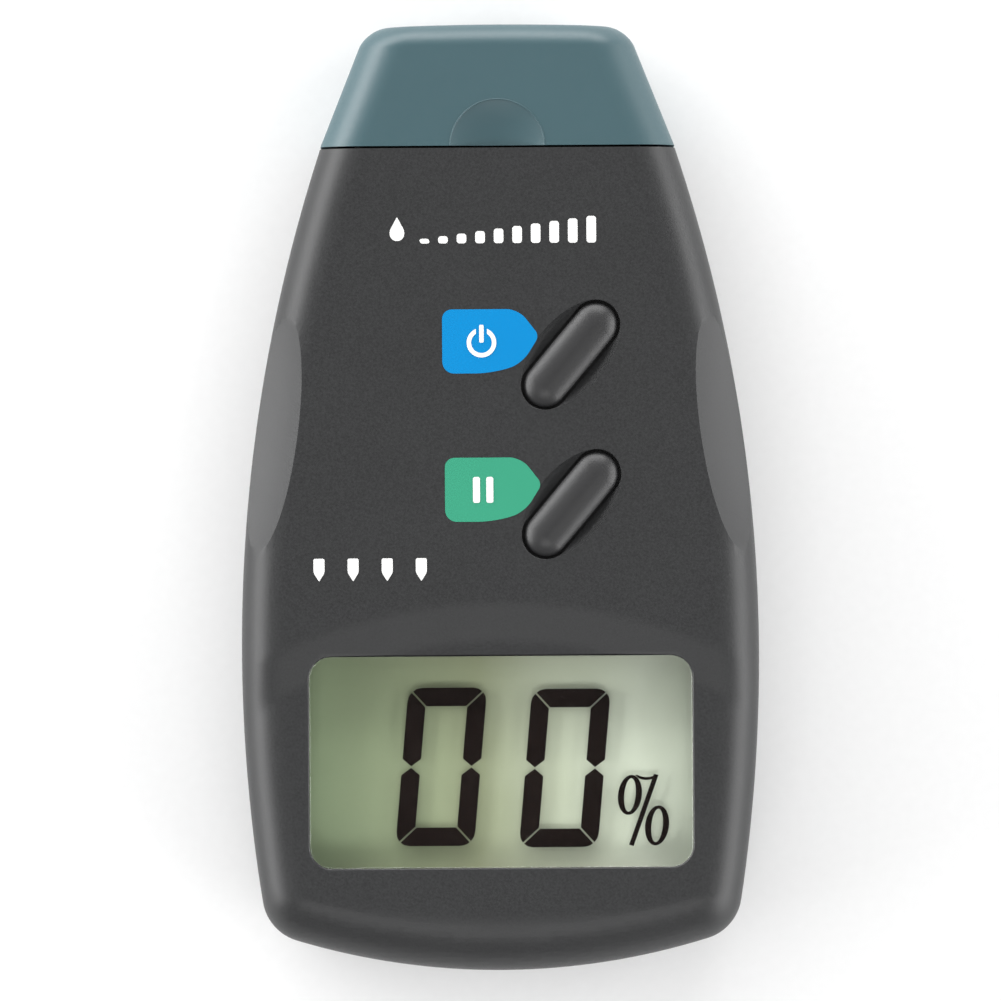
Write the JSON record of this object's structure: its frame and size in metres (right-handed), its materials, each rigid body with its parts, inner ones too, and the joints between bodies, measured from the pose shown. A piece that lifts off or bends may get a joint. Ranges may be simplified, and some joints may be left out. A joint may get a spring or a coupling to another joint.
{
  "type": "pin moisture meter",
  "caption": "Hand-held pin moisture meter for timber and flooring: tapered two-part case, display window, slanted keys, pull-off cap over contact pins, sliding battery door.",
  "frame": {"origin": "under the middle of the meter's length and width, on the surface its back lies on", "axes": "+Z out of the display face, +Y along the length towards the pins and the cap, +X to the right of someone reading the display"},
  "size_m": [0.07, 0.128, 0.0299],
  "materials": {
    "textured_abs": "spark-eroded charcoal ABS, semi-matt",
    "key_abs": "moulded grey ABS, satin",
    "cap_plastic": "blue-grey polypropylene, smooth satin",
    "black_abs": "black moulded ABS",
    "acrylic": "clear moulded acrylic",
    "lcd_glass": "polished display glass with a grey-green polariser",
    "reflector": "pearl reflective film",
    "board": "green solder mask",
    "epoxy": "black moulded epoxy",
    "foam": "closed-cell foam",
    "silicone": "striped conductive silicone",
    "steel": "nickel-plated steel, polished",
    "brass": "turned brass",
    "screw_steel": "black zinc-plated steel",
    "battery_jacket": "printed metal jacket, satin",
    "wire_red": "extruded PVC",
    "wire_black": "extruded PVC",
    "wire_white": "extruded PVC",
    "label_film": "satin polyester film"
  },
  "bodies": {
    "housing": {"front_shell": "textured_abs", "rear_shell": "textured_abs", "rear_label": "label_film", "case_screw_1": "screw_steel", "case_screw_2": "screw_steel", "case_screw_3": "screw_steel", "case_screw_4": "screw_steel", "display_window": "acrylic", "lcd_polariser": "lcd_glass", "lcd_front_glass": "lcd_glass", "lcd_rear_glass": "lcd_glass", "lcd_reflector": "reflector", "zebra_strip_upper": "silicone", "zebra_strip_lower": "silicone", "lcd_frame": "black_abs", "main_board": "board", "controller_chip": "epoxy", "amplifier_chip": "epoxy", "filter_capacitor": "epoxy", "crystal": "steel", "board_screw_1": "steel", "board_screw_2": "steel", "board_screw_3": "steel", "board_screw_4": "steel", "power_switch_base": "epoxy", "hold_switch_base": "epoxy", "pin_block": "black_abs", "pin_socket_1": "brass", "pin_1": "steel", "pin_socket_2": "brass", "pin_2": "steel", "pin_socket_3": "brass", "pin_3": "steel", "pin_socket_4": "brass", "pin_4": "steel", "battery_can": "battery_jacket", "battery_positive_stud": "steel", "battery_negative_stud": "steel", "battery_clip": "black_abs", "clip_socket_positive": "steel", "clip_socket_negative": "steel", "battery_pad": "foam", "battery_lead_red": "wire_red", "battery_lead_black": "wire_black", "pin_lead_1": "wire_white", "pin_lead_2": "wire_red", "pin_lead_3": "wire_white", "pin_lead_4": "wire_red"},
    "pin_cap": {"pin_cap": "cap_plastic"},
    "power_key": {"power_button": "key_abs", "power_switch_plunger": "epoxy"},
    "hold_key": {"hold_button": "key_abs", "hold_switch_plunger": "epoxy"},
    "battery_door": {"battery_door": "textured_abs"}
  },
  "joints": [
    {"name": "cap_pull", "type": "slide", "parent": "housing", "child": "pin_cap", "axis": [0, 1, 0], "range_m": [0, 0.04]},
    {"name": "power_press", "type": "slide", "parent": "housing", "child": "power_key", "axis": [0, 0, -1], "range_m": [0, 0.0005], "stiffness_N_per_m": 400, "springref_m": -0.0008},
    {"name": "hold_press", "type": "slide", "parent": "housing", "child": "hold_key", "axis": [0, 0, -1], "range_m": [0, 0.0005], "stiffness_N_per_m": 400, "springref_m": -0.0008},
    {"name": "battery_door_slide", "type": "slide", "parent": "housing", "child": "battery_door", "axis": [0, -1, 0], "range_m": [0, 0.05]}
  ]
}
